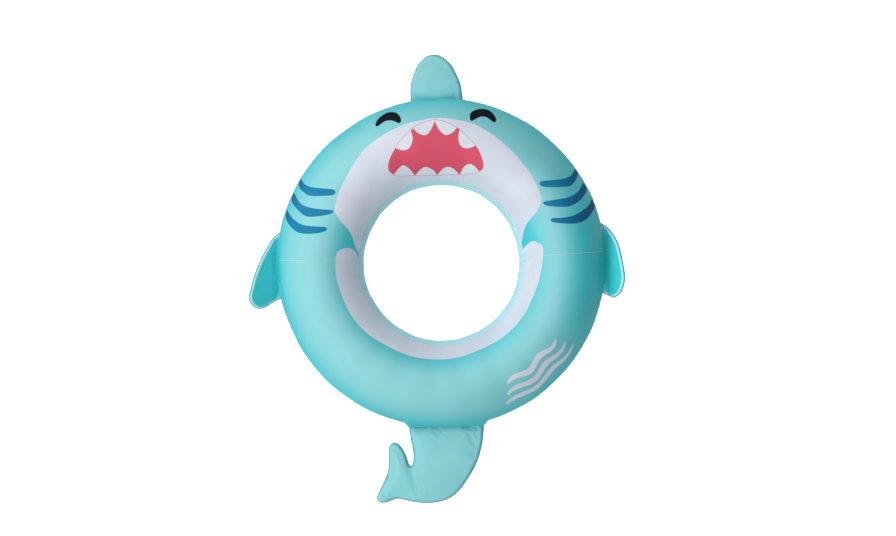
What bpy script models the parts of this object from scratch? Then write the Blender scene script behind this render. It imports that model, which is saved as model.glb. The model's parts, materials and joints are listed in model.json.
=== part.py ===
"""Shark-shaped swim ring: a fabric cover over an inflatable bladder, with four stuffed fins.

The ring lies face up: +Z is its axis and +Y points from its tail to its dorsal fin.
The origin is on the ground, below the centre of the whole shape. Units are metres.
"""

import math

import bmesh
import bpy
from mathutils import Matrix, Vector

# Ring
RING_OUTER_DIAMETER = 0.610
TUBE_DIAMETER = 0.1608
COVER_THICKNESS = 0.0015
BLADDER_WALL = 0.0005
BLADDER_CLEARANCE = 0.0006
SEAM_GAP = 0.0003
INNER_SEAM_ANGLE = 155.0
RESTING_FLAT_ANGLE = 36.0
RING_STEPS = 48
FRONT_STEPS = 8
BACK_STEPS_INSIDE = 5
BACK_STEPS_OUTSIDE = 4

# Fins: width is along the root, and reach is measured from the ring's edge
DORSAL_WIDTH = 0.095
DORSAL_REACH = 0.081
DORSAL_THICKNESS = 0.018
SIDE_FIN_WIDTH = 0.136
SIDE_FIN_REACH = 0.058
SIDE_FIN_THICKNESS = 0.012
LEFT_FIN_TILT = 22.0
RIGHT_FIN_TILT = 60.0
TAIL_WIDTH = 0.141
TAIL_REACH = 0.1405
TAIL_THICKNESS = 0.018
FIN_EDGE_RADIUS = 0.005
FIN_CURVE_STEPS = 2
FIN_EDGE_STEPS = 2
FIN_COVER_THICKNESS = 0.0012
FIN_STUFFING_CLEARANCE = 0.0005
FOLD_OFFSET = 0.004
FIN_ROOT_GAP = 0.003
TAIL_ROOT_GAP = 0.006
ROOT_TAPE_THICKNESS = 0.0016
ROOT_TAPE_GAP = 0.0003
ROOT_TAPE_STEPS = 12

# Valve
VALVE_RING_STEP = 12
VALVE_BORE_RADIUS = 0.0034
VALVE_STEM_WALL = 0.0022
VALVE_STEM_INSIDE = 0.005
VALVE_STEM_OUTSIDE = 0.018
VALVE_STEM_RIM = 0.0012
VALVE_RUNNING_GAP = 0.0004
VALVE_NECK_WALL = 0.0014
VALVE_NECK_HEIGHT = 0.0028
VALVE_FLANGE_RADIUS = 0.011
VALVE_FLANGE_THICKNESS = 0.001
VALVE_HOLE_GAP = 0.0004
PORT_RING_WIDTH = 0.0045
PORT_RING_THICKNESS = 0.0014
PLUG_DEPTH = 0.007
PLUG_HEAD_THICKNESS = 0.0022
PLUG_TAB_LENGTH = 0.010
PLUG_TAB_WIDTH = 0.006

# Zip
ZIP_START = 217.5
ZIP_END = 262.5
ZIP_STEP = 2.5
ZIP_TAPE_WIDTH = 0.010
ZIP_TAPE_THICKNESS = 0.0008
ZIP_COIL_WIDTH = 0.0022
ZIP_COIL_HEIGHT = 0.0020
ZIP_GAP = 0.0003
ZIP_STOP_LENGTH = 0.004
SLIDER_LENGTH = 0.011
SLIDER_WALL = 0.0013
SLIDER_CLEARANCE = 0.0005
PIVOT_EAR_WIDTH = 0.0012
PIVOT_EAR_LENGTH = 0.0030
PIVOT_RADIUS = 0.0008
PIVOT_LIFT = 0.0016
PULL_TAB_WIDTH = 0.0050
PULL_TAB_LENGTH = 0.018
PULL_TAB_THICKNESS = 0.0010
PULL_HOLE_RADIUS = 0.0013

TUBE_RADIUS = TUBE_DIAMETER / 2
RING_RADIUS = RING_OUTER_DIAMETER / 2
CENTRE_LINE_RADIUS = RING_RADIUS - TUBE_RADIUS
TUBE_HEIGHT = TUBE_RADIUS * math.cos(math.radians(RESTING_FLAT_ANGLE / 2))
FLAT_START = 270.0 - RESTING_FLAT_ANGLE / 2
FLAT_END = 270.0 + RESTING_FLAT_ANGLE / 2
BACK_FACET = (360.0 - FLAT_END) / BACK_STEPS_OUTSIDE
ZIP_TUBE_ANGLE = FLAT_END + 1.5 * BACK_FACET
VALVE_TUBE_ANGLE = FLAT_END + 2.5 * BACK_FACET
RING_STEP = 360.0 / RING_STEPS

# Outlines, in half widths along the root and in reaches out of the ring. Each runs from one
# root corner to the other, and a corner has no reach: it lies on the straight root.
DORSAL_OUTLINE = [
    (-0.98, None), (-0.96, 0.30), (-0.79, 0.64), (-0.43, 0.93), (-0.08, 1.00),
    (0.28, 0.95), (0.63, 0.75), (0.91, 0.42), (1.00, None),
]
SIDE_OUTLINE = [
    (0.81, None), (0.43, 0.42), (0.06, 0.65), (-0.35, 0.86), (-0.72, 0.985),
    (-0.93, 0.95), (-1.07, 0.77), (-1.04, 0.48), (-0.93, None),
]
TAIL_OUTLINE = [
    (0.96, None), (0.91, 0.27), (0.88, 0.37), (0.91, 0.47), (0.99, 0.49), (1.08, 0.37),
    (1.19, 0.26), (1.33, 0.19), (1.48, 0.20), (1.54, 0.30), (1.55, 0.47), (1.60, 0.61),
    (1.77, 0.79), (1.87, 0.89), (1.83, 0.96), (1.70, 0.975), (1.36, 0.925), (1.14, 0.945),
    (0.55, 1.00), (0.22, 0.985), (-0.11, 0.92), (-0.52, 0.71), (-0.75, 0.50),
    (-0.94, 0.21), (-0.99, None),
]

TEAL = (0.035, 0.42, 0.47, 1.0)
DEEP_TEAL = (0.020, 0.33, 0.38, 1.0)
FOAM_WHITE = (0.80, 0.80, 0.76, 1.0)
CLEAR_BLUE = (0.55, 0.72, 0.80, 1.0)
VALVE_WHITE = (0.82, 0.84, 0.85, 1.0)
ZIP_GREY = (0.10, 0.28, 0.32, 1.0)
ZIP_METAL = (0.62, 0.64, 0.66, 1.0)


def clear_scene():
    for obj in list(bpy.data.objects):
        bpy.data.objects.remove(obj, do_unlink=True)


def new_collection(name):
    collection = bpy.data.collections.new(name)
    bpy.context.scene.collection.children.link(collection)
    return collection


def material(name, colour, roughness, metallic=0.0):
    found = bpy.data.materials.get(name) or bpy.data.materials.new(name)
    found.use_nodes = True
    shader = found.node_tree.nodes["Principled BSDF"]
    shader.inputs["Base Color"].default_value = colour
    shader.inputs["Roughness"].default_value = roughness
    shader.inputs["Metallic"].default_value = metallic
    return found


def cover_fabric():
    return material("cover_fabric", TEAL, 0.6)


def back_fabric():
    return material("back_fabric", DEEP_TEAL, 0.65)


def stuffing():
    return material("stuffing", FOAM_WHITE, 0.9)


def bladder_film():
    return material("bladder_film", CLEAR_BLUE, 0.2)


def valve_plastic():
    return material("valve_plastic", VALVE_WHITE, 0.35)


def zip_fabric():
    return material("zip_fabric", ZIP_GREY, 0.8)


def zip_metal():
    return material("zip_metal", ZIP_METAL, 0.3, 1.0)


def spaced(first, last, steps):
    return [first + (last - first) * i / steps for i in range(steps + 1)]


def front_angles():
    return spaced(0.0, INNER_SEAM_ANGLE, FRONT_STEPS)


def back_angles():
    inside = spaced(INNER_SEAM_ANGLE, FLAT_START, BACK_STEPS_INSIDE)
    return inside + spaced(FLAT_END, 360.0, BACK_STEPS_OUTSIDE)


def reach_at(radius, thickness, reach, tilt):
    """How far out a fin stands, seen from above, when it is tilted by this angle."""
    run = reach - FOLD_OFFSET - thickness / 2
    return radius + FOLD_OFFSET + run * math.cos(math.radians(tilt)) + thickness / 2


def ring_centre():
    """The ring's axis, placed so that the origin is below the middle of the whole outline."""
    left = reach_at(RING_RADIUS, SIDE_FIN_THICKNESS, SIDE_FIN_REACH, LEFT_FIN_TILT)
    right = reach_at(RING_RADIUS, SIDE_FIN_THICKNESS, SIDE_FIN_REACH, RIGHT_FIN_TILT)
    return Vector(((left - right) / 2, (TAIL_REACH - DORSAL_REACH) / 2, 0.0))


def link_mesh(name, bm, collection, look, location=(0.0, 0.0, 0.0)):
    mesh = bpy.data.meshes.new(name)
    bm.to_mesh(mesh)
    bm.free()
    mesh.materials.append(look)
    mesh.shade_smooth()
    mesh.set_sharp_from_angle(angle=math.radians(40))
    obj = bpy.data.objects.new(name, mesh)
    obj.location = location
    collection.objects.link(obj)
    return obj


def ring_section(radius, angles):
    """Points of the tube's section, as distance from the ring's axis and height."""
    turns = [math.radians(angle) for angle in angles]
    return [
        (CENTRE_LINE_RADIUS + radius * math.cos(t), TUBE_HEIGHT + radius * math.sin(t))
        for t in turns
    ]


def spun(section, first, last, steps, closed):
    """A section turned about the ring's axis, from one ring angle to another."""
    bm = bmesh.new()
    verts = [bm.verts.new((x, 0.0, z)) for x, z in section]
    for here, there in zip(verts, verts[1:] + verts[:1] if closed else verts[1:]):
        bm.edges.new((here, there))
    start = Matrix.Rotation(math.radians(first), 3, "Z")
    bmesh.ops.rotate(bm, cent=(0, 0, 0), matrix=start, verts=bm.verts)
    bmesh.ops.spin(
        bm, geom=bm.verts[:] + bm.edges[:], cent=(0, 0, 0), axis=(0, 0, 1),
        angle=math.radians(last - first), steps=steps, use_duplicate=False,
    )
    bmesh.ops.remove_doubles(bm, verts=bm.verts, dist=1e-5)
    return bm


def face_outwards(bm):
    bmesh.ops.recalc_face_normals(bm, faces=bm.faces)
    if bm.calc_volume(signed=True) < 0:
        bmesh.ops.reverse_faces(bm, faces=bm.faces)


def face_out_of_tube(bm):
    bm.faces.ensure_lookup_table()
    face = bm.faces[0]
    middle = face.calc_center_median()
    flat = Vector((middle.x, middle.y, 0.0)).normalized() * CENTRE_LINE_RADIUS
    if face.normal.dot(middle - flat - Vector((0, 0, TUBE_HEIGHT))) < 0:
        bmesh.ops.reverse_faces(bm, faces=bm.faces)


def solidify(obj, thickness):
    shell = obj.modifiers.new("Wall", "SOLIDIFY")
    shell.thickness = thickness
    shell.offset = -1.0
    shell.use_even_offset = True
    return obj


def subtract(obj, cutter):
    cut = obj.modifiers.new("Cut", "BOOLEAN")
    cut.operation = "DIFFERENCE"
    cut.solver = "EXACT"
    cut.object = cutter
    return obj


def unite(obj, other):
    join = obj.modifiers.new("Join", "BOOLEAN")
    join.operation = "UNION"
    join.solver = "EXACT"
    join.object = other
    return obj


def hide_helper(obj):
    obj.hide_render = True
    obj.display_type = "WIRE"
    return obj


def surface_frame(ring_angle, tube_angle, distance):
    """A frame on the tube: X runs along the ring, and Z points out of the tube."""
    theta, phi = math.radians(ring_angle), math.radians(tube_angle)
    out = Vector((math.cos(theta), math.sin(theta), 0.0))
    along = Vector((-math.sin(theta), math.cos(theta), 0.0))
    normal = out * math.cos(phi) + Vector((0, 0, math.sin(phi)))
    across = normal.cross(along)
    place = out * CENTRE_LINE_RADIUS + Vector((0, 0, TUBE_HEIGHT)) + normal * distance
    frame = Matrix((along, across, normal)).transposed().to_4x4()
    frame.translation = ring_centre() + place
    return frame


def facet_distance():
    """From the tube's centre line to the flat of the cover that the valve sits on."""
    half = math.cos(math.radians(BACK_FACET / 2))
    turn = math.cos(math.radians(RING_STEP / 2))
    phi = math.radians(VALVE_TUBE_ANGLE)
    edge = CENTRE_LINE_RADIUS + TUBE_RADIUS * half * math.cos(phi)
    run = edge * turn - CENTRE_LINE_RADIUS
    return run * math.cos(phi) + TUBE_RADIUS * half * math.sin(phi) ** 2


def cylinder_cutter(name, radius, depth, frame, cutters):
    bm = bmesh.new()
    bmesh.ops.create_cone(
        bm, cap_ends=True, segments=32, radius1=radius, radius2=radius, depth=depth
    )
    obj = link_mesh(name, bm, cutters, valve_plastic())
    obj.matrix_world = frame
    return hide_helper(obj)


def make_bladder(parts, cutter):
    radius = TUBE_RADIUS - (COVER_THICKNESS + BLADDER_CLEARANCE) / math.cos(
        math.radians(INNER_SEAM_ANGLE / FRONT_STEPS / 2)
    )
    angles = front_angles()[:-1] + back_angles()[:-1]
    bm = spun(ring_section(radius, angles), 0.0, 360.0, RING_STEPS, closed=True)
    face_out_of_tube(bm)
    obj = link_mesh("bladder", bm, parts, bladder_film(), ring_centre())
    solidify(obj, BLADDER_WALL)
    return subtract(obj, cutter)


def make_strip(name, section, span, steps, parts, look):
    """A closed section turned through a span of ring angles, with its ends filled."""
    bm = spun(section, *span, steps, closed=True)
    ends = [edge for edge in bm.edges if edge.is_boundary]
    bmesh.ops.edgeloop_fill(bm, edges=ends)
    face_outwards(bm)
    return link_mesh(name, bm, parts, look, ring_centre())


def make_panel(name, angles, first, last, parts, look):
    """A sewn quarter of the ring's cover, short of its seams by half the seam gap."""
    inner_radius = TUBE_RADIUS - COVER_THICKNESS
    trim = math.degrees(SEAM_GAP / 2 / inner_radius)
    end = math.degrees(SEAM_GAP / 2 / (RING_RADIUS - TUBE_DIAMETER))
    angles = [angles[0] + trim] + angles[1:-1] + [angles[-1] - trim]
    outside = ring_section(TUBE_RADIUS, angles)
    inside = ring_section(inner_radius, reversed(angles))
    section = outside + inside
    return make_strip(name, section, (first + end, last - end), RING_STEPS // 2, parts, look)


def make_cover(parts, cutter):
    make_panel("front_upper_panel", front_angles(), 0.0, 180.0, parts, cover_fabric())
    make_panel("front_lower_panel", front_angles(), 180.0, 360.0, parts, cover_fabric())
    upper = make_panel("back_upper_panel", back_angles(), 0.0, 180.0, parts, back_fabric())
    subtract(upper, cutter)
    make_panel("back_lower_panel", back_angles(), 180.0, 360.0, parts, back_fabric())


def fin_empty(name, ring_angle, tilt, parts):
    """An empty on the fold line: X runs along it, and Y points out of the ring."""
    theta = math.radians(ring_angle)
    out = Vector((math.cos(theta), math.sin(theta), 0.0))
    up = Vector((0.0, 0.0, 1.0))
    frame = Matrix((out.cross(up), out, up)).transposed().to_4x4()
    fold = out * (RING_RADIUS + FOLD_OFFSET) + up * TUBE_HEIGHT
    frame.translation = ring_centre() + fold
    empty = bpy.data.objects.new(name, None)
    parts.objects.link(empty)
    empty.matrix_world = frame @ Matrix.Rotation(math.radians(tilt), 4, "X")
    return empty


def outline_curve(outline, width, reach, root_gap):
    """A smooth closed curve through an outline's points, straight along the root."""
    curve = bpy.data.curves.new("outline", "CURVE")
    curve.dimensions = "2D"
    curve.fill_mode = "NONE"
    curve.resolution_u = FIN_CURVE_STEPS
    spline = curve.splines.new("BEZIER")
    spline.bezier_points.add(len(outline) - 1)
    spline.use_cyclic_u = True
    for point, (across, out) in zip(spline.bezier_points, outline):
        height = root_gap if out is None else out * reach - FOLD_OFFSET
        point.co = (across * width / 2, height, 0.0)
        kind = "VECTOR" if out is None else "AUTO"
        point.handle_left_type = kind
        point.handle_right_type = kind
    return curve


def outline_points(outline, size):
    """The outline's points in order, as the curve passes through them."""
    width, reach, _, root_gap = size
    holder = bpy.data.objects.new("outline", outline_curve(outline, width, reach, root_gap))
    bpy.context.scene.collection.objects.link(holder)
    graph = bpy.context.evaluated_depsgraph_get()
    mesh = bpy.data.meshes.new_from_object(holder.evaluated_get(graph))
    bpy.data.objects.remove(holder, do_unlink=True)
    points = [vert.co.to_2d() for vert in mesh.vertices]
    return [p for p, q in zip(points, points[1:] + points[:1]) if (p - q).length > 1e-5]


def inset_points(points, distance):
    """The outline moved inwards: each corner goes along the line that halves it."""
    turns = sum(p.cross(q) for p, q in zip(points, points[1:] + points[:1]))
    inwards = math.copysign(distance, turns)
    moved = []
    for i, point in enumerate(points):
        before = (point - points[i - 1]).normalized()
        after = (points[(i + 1) % len(points)] - point).normalized()
        middle = (before + after).normalized()
        normal = Vector((-middle.y, middle.x))
        moved.append(point + normal * inwards / max(0.5, middle.dot(after)))
    return moved


def stuffed_shape(outline, size, inset=0.0):
    """A fin's plate with a rounded edge, smaller all over by the inset."""
    half = size[2] / 2 - inset
    radius = FIN_EDGE_RADIUS - inset
    points = outline_points(outline, size)
    rounds = spaced(0.0, 90.0, FIN_EDGE_STEPS)
    levels = []
    for angle in [math.radians(a) for a in rounds]:
        back = FIN_EDGE_RADIUS - radius * math.cos(angle)
        levels.append((back, half - radius + radius * math.sin(angle)))
    bm = bmesh.new()
    loops = []
    for back, height in [(b, -h) for b, h in reversed(levels)] + levels:
        loops.append([bm.verts.new((*p, height)) for p in inset_points(points, back)])
    count = len(points)
    for low, high in zip(loops, loops[1:]):
        for i in range(count):
            j = (i + 1) % count
            bm.faces.new((low[i], low[j], high[j], high[i]))
    bm.faces.new(loops[0])
    bm.faces.new(loops[-1])
    face_outwards(bm)
    bmesh.ops.triangulate(bm, faces=bm.faces)
    return bm


def half_space(name, side, size, empty, cutters):
    """A block that fills everything on one side of a fin's edge seam."""
    block = 4 * max(size)
    middle = Vector((0.0, 0.0, side * (block - SEAM_GAP) / 2))
    bm = bmesh.new()
    bmesh.ops.create_cube(bm, size=block, matrix=Matrix.Translation(middle))
    obj = hide_helper(link_mesh(name, bm, cutters, stuffing()))
    obj.parent = empty
    return obj


def make_fin(name, outline, size, ring_angle, tilt, parts, cutters):
    empty = fin_empty(name + "_fold", ring_angle, tilt, parts)
    core = stuffed_shape(outline, size, FIN_COVER_THICKNESS + FIN_STUFFING_CLEARANCE)
    filling = link_mesh(name + "_stuffing", core, parts, stuffing())
    filling.parent = empty
    inside = stuffed_shape(outline, size, FIN_COVER_THICKNESS)
    hollow = hide_helper(link_mesh(name + "_hollow", inside, cutters, stuffing()))
    hollow.parent = empty
    faces = {"_front_cover": (1, cover_fabric()), "_back_cover": (-1, back_fabric())}
    for label, (side, look) in faces.items():
        shell = link_mesh(name + label, stuffed_shape(outline, size), parts, look)
        shell.parent = empty
        subtract(shell, hollow)
        subtract(shell, half_space(name + label + "_cut", -side, size, empty, cutters))
    ends = (outline[0][0] * size[0] / 2, outline[-1][0] * size[0] / 2)
    make_root_tape(name, min(ends), max(ends), ring_angle, parts)


def make_root_tape(name, first, last, ring_angle, parts):
    """The sewn tape that a fin hangs from: it fills the space between ring and fold line."""
    inner = RING_RADIUS + ROOT_TAPE_GAP
    along = spaced(first, last, ROOT_TAPE_STEPS)
    arc = [(x, math.sqrt(inner ** 2 - x ** 2) - RING_RADIUS) for x in along]
    edge = FOLD_OFFSET - ROOT_TAPE_GAP
    curve = bpy.data.curves.new(name + "_root_tape", "CURVE")
    curve.dimensions = "2D"
    curve.fill_mode = "BOTH"
    curve.extrude = ROOT_TAPE_THICKNESS / 2
    spline = curve.splines.new("POLY")
    points = [*arc, (last, edge), (first, edge)]
    spline.points.add(len(points) - 1)
    spline.use_cyclic_u = True
    for point, (x, y) in zip(spline.points, points):
        point.co = (x, y - FOLD_OFFSET, 0.0, 1.0)
    curve.materials.append(back_fabric())
    obj = bpy.data.objects.new(name + "_root_tape", curve)
    parts.objects.link(obj)
    obj.parent = fin_empty(name + "_root", ring_angle, 0.0, parts)


def make_fins(parts, cutters):
    side = (SIDE_FIN_WIDTH, SIDE_FIN_REACH, SIDE_FIN_THICKNESS, FIN_ROOT_GAP)
    dorsal = (DORSAL_WIDTH, DORSAL_REACH, DORSAL_THICKNESS, FIN_ROOT_GAP)
    tail = (TAIL_WIDTH, TAIL_REACH, TAIL_THICKNESS, TAIL_ROOT_GAP)
    mirrored = [(-across, out) for across, out in SIDE_OUTLINE]
    make_fin("dorsal_fin", DORSAL_OUTLINE, dorsal, 90.0, 0.0, parts, cutters)
    make_fin("left_fin", SIDE_OUTLINE, side, 180.0, LEFT_FIN_TILT, parts, cutters)
    make_fin("right_fin", mirrored, side, 0.0, RIGHT_FIN_TILT, parts, cutters)
    make_fin("tail", TAIL_OUTLINE, tail, 270.0, 0.0, parts, cutters)


def turned(name, section, frame, parts, look):
    """A round piece: its closed section, turned about the Z axis of this frame."""
    bm = bmesh.new()
    verts = [bm.verts.new((x, 0.0, z)) for x, z in section]
    for here, there in zip(verts, verts[1:] + verts[:1]):
        bm.edges.new((here, there))
    bmesh.ops.spin(
        bm, geom=bm.verts[:] + bm.edges[:], cent=(0, 0, 0), axis=(0, 0, 1),
        angle=math.tau, steps=24, use_duplicate=False,
    )
    bmesh.ops.remove_doubles(bm, verts=bm.verts, dist=1e-6)
    loose = [edge for edge in bm.edges if not edge.link_faces]
    bmesh.ops.delete(bm, geom=loose, context="EDGES")
    face_outwards(bm)
    obj = link_mesh(name, bm, parts, look)
    obj.matrix_world = frame
    return obj


def tube_section(inner, outer, low, high):
    return [(inner, low), (outer, low), (outer, high), (inner, high)]


def valve_frame():
    ring_angle = (VALVE_RING_STEP + 0.5) * RING_STEP
    return surface_frame(ring_angle, VALVE_TUBE_ANGLE, facet_distance())


def valve_hole_radius():
    stem = VALVE_BORE_RADIUS + VALVE_STEM_WALL
    return stem + VALVE_RUNNING_GAP + VALVE_NECK_WALL + VALVE_HOLE_GAP


def valve_cutters(cutters):
    depth = 4 * (COVER_THICKNESS + BLADDER_CLEARANCE + BLADDER_WALL)
    size = (valve_hole_radius(), depth, valve_frame(), cutters)
    return cylinder_cutter("valve_hole", *size)


def make_valve_flange(parts):
    """A disc inside the bladder, with a neck that comes out through the cover."""
    stem = VALVE_BORE_RADIUS + VALVE_STEM_WALL
    inner = stem + VALVE_RUNNING_GAP
    outer = inner + VALVE_NECK_WALL
    wall = COVER_THICKNESS + BLADDER_CLEARANCE + BLADDER_WALL
    top = -wall - 3 * VALVE_HOLE_GAP
    base = top - VALVE_FLANGE_THICKNESS
    section = [
        (inner, base), (VALVE_FLANGE_RADIUS, base), (VALVE_FLANGE_RADIUS, top),
        (outer, top), (outer, VALVE_NECK_HEIGHT), (inner, VALVE_NECK_HEIGHT),
    ]
    turned("valve_flange", section, valve_frame(), parts, valve_plastic())


def make_port_ring(parts):
    inner = valve_hole_radius()
    section = tube_section(
        inner, inner + PORT_RING_WIDTH, SEAM_GAP, SEAM_GAP + PORT_RING_THICKNESS
    )
    turned("valve_port_ring", section, valve_frame(), parts, valve_plastic())


def make_valve_stem(parts):
    outer = VALVE_BORE_RADIUS + VALVE_STEM_WALL
    rim = outer + VALVE_STEM_RIM
    top = VALVE_STEM_OUTSIDE
    low = top - VALVE_STEM_RIM
    section = [
        (VALVE_BORE_RADIUS, -VALVE_STEM_INSIDE), (outer, -VALVE_STEM_INSIDE),
        (outer, low), (rim, low), (rim, top), (VALVE_BORE_RADIUS, top),
    ]
    turned("valve_stem", section, valve_frame(), parts, valve_plastic())


def make_valve_plug(parts, cutters):
    """A plug pressed into the stem's mouth, with a flat tab to pull it out by."""
    gap = VALVE_RUNNING_GAP
    head = VALVE_BORE_RADIUS + VALVE_STEM_WALL + VALVE_STEM_RIM
    shank = VALVE_BORE_RADIUS - gap
    base = VALVE_STEM_OUTSIDE + gap
    section = [
        (0.0, VALVE_STEM_OUTSIDE - PLUG_DEPTH), (shank, VALVE_STEM_OUTSIDE - PLUG_DEPTH),
        (shank, base), (head, base), (head, base + PLUG_HEAD_THICKNESS),
        (0.0, base + PLUG_HEAD_THICKNESS),
    ]
    plug = turned("valve_plug", section, valve_frame(), parts, valve_plastic())
    bm = bmesh.new()
    size = (PLUG_TAB_LENGTH, PLUG_TAB_WIDTH, PLUG_HEAD_THICKNESS / 2)
    bmesh.ops.create_cube(bm, size=1.0, matrix=Matrix.Diagonal((*size, 1.0)))
    bmesh.ops.bevel(
        bm, geom=bm.edges[:], offset=PLUG_HEAD_THICKNESS / 8, segments=1, affect="EDGES"
    )
    tab = hide_helper(link_mesh("valve_plug_tab", bm, cutters, valve_plastic()))
    out = Vector((head + PLUG_TAB_LENGTH / 4, 0.0, base + PLUG_HEAD_THICKNESS / 2))
    tab.matrix_world = valve_frame() @ Matrix.Translation(out)
    unite(plug, tab)


def make_valve(parts, cutters):
    make_valve_flange(parts)
    make_port_ring(parts)
    make_valve_stem(parts)
    make_valve_plug(parts, cutters)


def strip_section(across, width, lift, height):
    """A strip's section on the zip's flat, as distance from the axis and height."""
    phi = math.radians(ZIP_TUBE_ANGLE)
    base = TUBE_RADIUS * math.cos(math.radians(BACK_FACET / 2)) + lift
    corners = [
        (across, base), (across + width, base),
        (across + width, base + height), (across, base + height),
    ]
    return [
        (
            CENTRE_LINE_RADIUS + out * math.cos(phi) - side * math.sin(phi),
            TUBE_HEIGHT + out * math.sin(phi) + side * math.cos(phi),
        )
        for side, out in corners
    ]


def zip_steps(span):
    return max(1, round((span[1] - span[0]) / ZIP_STEP))


def coil_lift():
    return SEAM_GAP + ZIP_TAPE_THICKNESS + ZIP_GAP


def make_zip_track(parts):
    half = ZIP_GAP / 2
    thick = ZIP_TAPE_THICKNESS
    track = (ZIP_START, ZIP_END)
    tapes = {"zip_tape_upper": half, "zip_tape_lower": -half - ZIP_TAPE_WIDTH}
    for name, across in tapes.items():
        section = strip_section(across, ZIP_TAPE_WIDTH, SEAM_GAP, thick)
        make_strip(name, section, track, zip_steps(track), parts, zip_fabric())
    coils = {"zip_coil_upper": half, "zip_coil_lower": -half - ZIP_COIL_WIDTH}
    for name, across in coils.items():
        section = strip_section(across, ZIP_COIL_WIDTH, coil_lift(), ZIP_COIL_HEIGHT)
        make_strip(name, section, track, zip_steps(track), parts, zip_fabric())
    length = math.degrees(ZIP_STOP_LENGTH / RING_RADIUS)
    gap = math.degrees(ZIP_GAP / CENTRE_LINE_RADIUS)
    wide = 2 * ZIP_COIL_WIDTH + ZIP_GAP
    tall = coil_lift() + ZIP_COIL_HEIGHT - SEAM_GAP
    section = strip_section(-wide / 2, wide, SEAM_GAP, tall)
    starts = {"zip_stop_start": ZIP_START - gap - length, "zip_stop_end": ZIP_END + gap}
    for name, first in starts.items():
        make_strip(name, section, (first, first + length), 1, parts, zip_metal())


def slider_place():
    """The slider's ring angle at rest: closed, just short of the first stop."""
    half = math.degrees(SLIDER_LENGTH / 2 / (CENTRE_LINE_RADIUS + TUBE_RADIUS / 2))
    return ZIP_START + half + math.degrees(ZIP_GAP / RING_RADIUS)


def slider_frame():
    distance = TUBE_RADIUS * math.cos(math.radians(BACK_FACET / 2))
    return surface_frame(slider_place(), ZIP_TUBE_ANGLE, distance)


def coil_half_width():
    return ZIP_COIL_WIDTH + ZIP_GAP / 2


def box(bm, low, high):
    size = Vector(high) - Vector(low)
    middle = (Vector(high) + Vector(low)) / 2
    frame = Matrix.Translation(middle) @ Matrix.Diagonal((*size, 1.0))
    bmesh.ops.create_cube(bm, size=1.0, matrix=frame)


def helper_box(name, low, high, cutters):
    bm = bmesh.new()
    box(bm, low, high)
    helper = link_mesh(name, bm, cutters, zip_metal())
    helper.matrix_world = slider_frame()
    return hide_helper(helper)


def slider_top():
    return coil_lift() + ZIP_COIL_HEIGHT + SLIDER_CLEARANCE + SLIDER_WALL


def make_slider(parts, cutters):
    """A channel that straddles both coils, with two ears that hold the pull tab."""
    inside = coil_half_width() + SLIDER_CLEARANCE
    outside = inside + SLIDER_WALL
    length = SLIDER_LENGTH / 2
    bottom = coil_lift() + SLIDER_CLEARANCE / 2
    bm = bmesh.new()
    box(bm, (-length, -outside, bottom), (length, outside, slider_top()))
    slider = link_mesh("zip_slider", bm, parts, zip_metal())
    slider.matrix_world = slider_frame()
    under = slider_top() - SLIDER_WALL
    low = (-2 * length, -inside, -bottom)
    subtract(slider, helper_box("slider_channel", low, (2 * length, inside, under), cutters))
    gap = PULL_TAB_WIDTH / 2 + ZIP_GAP
    reach = PIVOT_EAR_LENGTH / 2
    tall = slider_top() + PIVOT_LIFT + 2 * PIVOT_RADIUS
    for side, name in ((1, "slider_ear_upper"), (-1, "slider_ear_lower")):
        near, far = sorted((side * gap, side * (gap + PIVOT_EAR_WIDTH)))
        ear = helper_box(
            name, (-reach, near, slider_top() - SLIDER_WALL / 2), (reach, far, tall), cutters
        )
        unite(slider, ear)


def make_pull_tab(parts, cutters):
    """A tab that turns on a barrel between the slider's ears."""
    lift = slider_top() + PIVOT_LIFT
    half = PULL_TAB_WIDTH / 2
    bm = bmesh.new()
    turn = Matrix.Rotation(math.radians(90), 4, "X")
    bmesh.ops.create_cone(
        bm, cap_ends=True, segments=16, radius1=PIVOT_RADIUS, radius2=PIVOT_RADIUS,
        depth=PULL_TAB_WIDTH, matrix=turn,
    )
    tab = link_mesh("zip_pull_tab", bm, parts, zip_metal())
    tab.matrix_world = slider_frame() @ Matrix.Translation((0, 0, lift))
    thin = PULL_TAB_THICKNESS / 2
    low = (0.0, -half * 0.98, lift - thin)
    plate = helper_box("pull_plate", low, (PULL_TAB_LENGTH, half * 0.98, lift + thin), cutters)
    unite(tab, plate)
    hole = (PULL_TAB_LENGTH - 2.2 * PULL_HOLE_RADIUS, 0.0, lift)
    frame = slider_frame() @ Matrix.Translation(hole)
    depth = 4 * PULL_TAB_THICKNESS
    subtract(tab, cylinder_cutter("pull_hole", PULL_HOLE_RADIUS, depth, frame, cutters))


def main():
    clear_scene()
    parts = new_collection("shark_swim_ring")
    cutters = new_collection("cutters")
    valve_hole = valve_cutters(cutters)
    make_bladder(parts, valve_hole)
    make_cover(parts, valve_hole)
    make_fins(parts, cutters)
    make_valve(parts, cutters)
    make_zip_track(parts)
    make_slider(parts, cutters)
    make_pull_tab(parts, cutters)


main()
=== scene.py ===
"""The looks of a shark-shaped swim ring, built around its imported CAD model.

Lengths are in metres and angles in radians, unless a name or a comment says otherwise. The
ring's surface is worked out from a ring angle (theta, about the ring's axis, 0 at the right
and 90 degrees at the dorsal fin) and a tube angle (phi, 0 at the outer edge, 90 on top).
"""

import json
import math

import bpy
import numpy as np
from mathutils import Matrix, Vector
from mathutils.geometry import delaunay_2d_cdt

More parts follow.
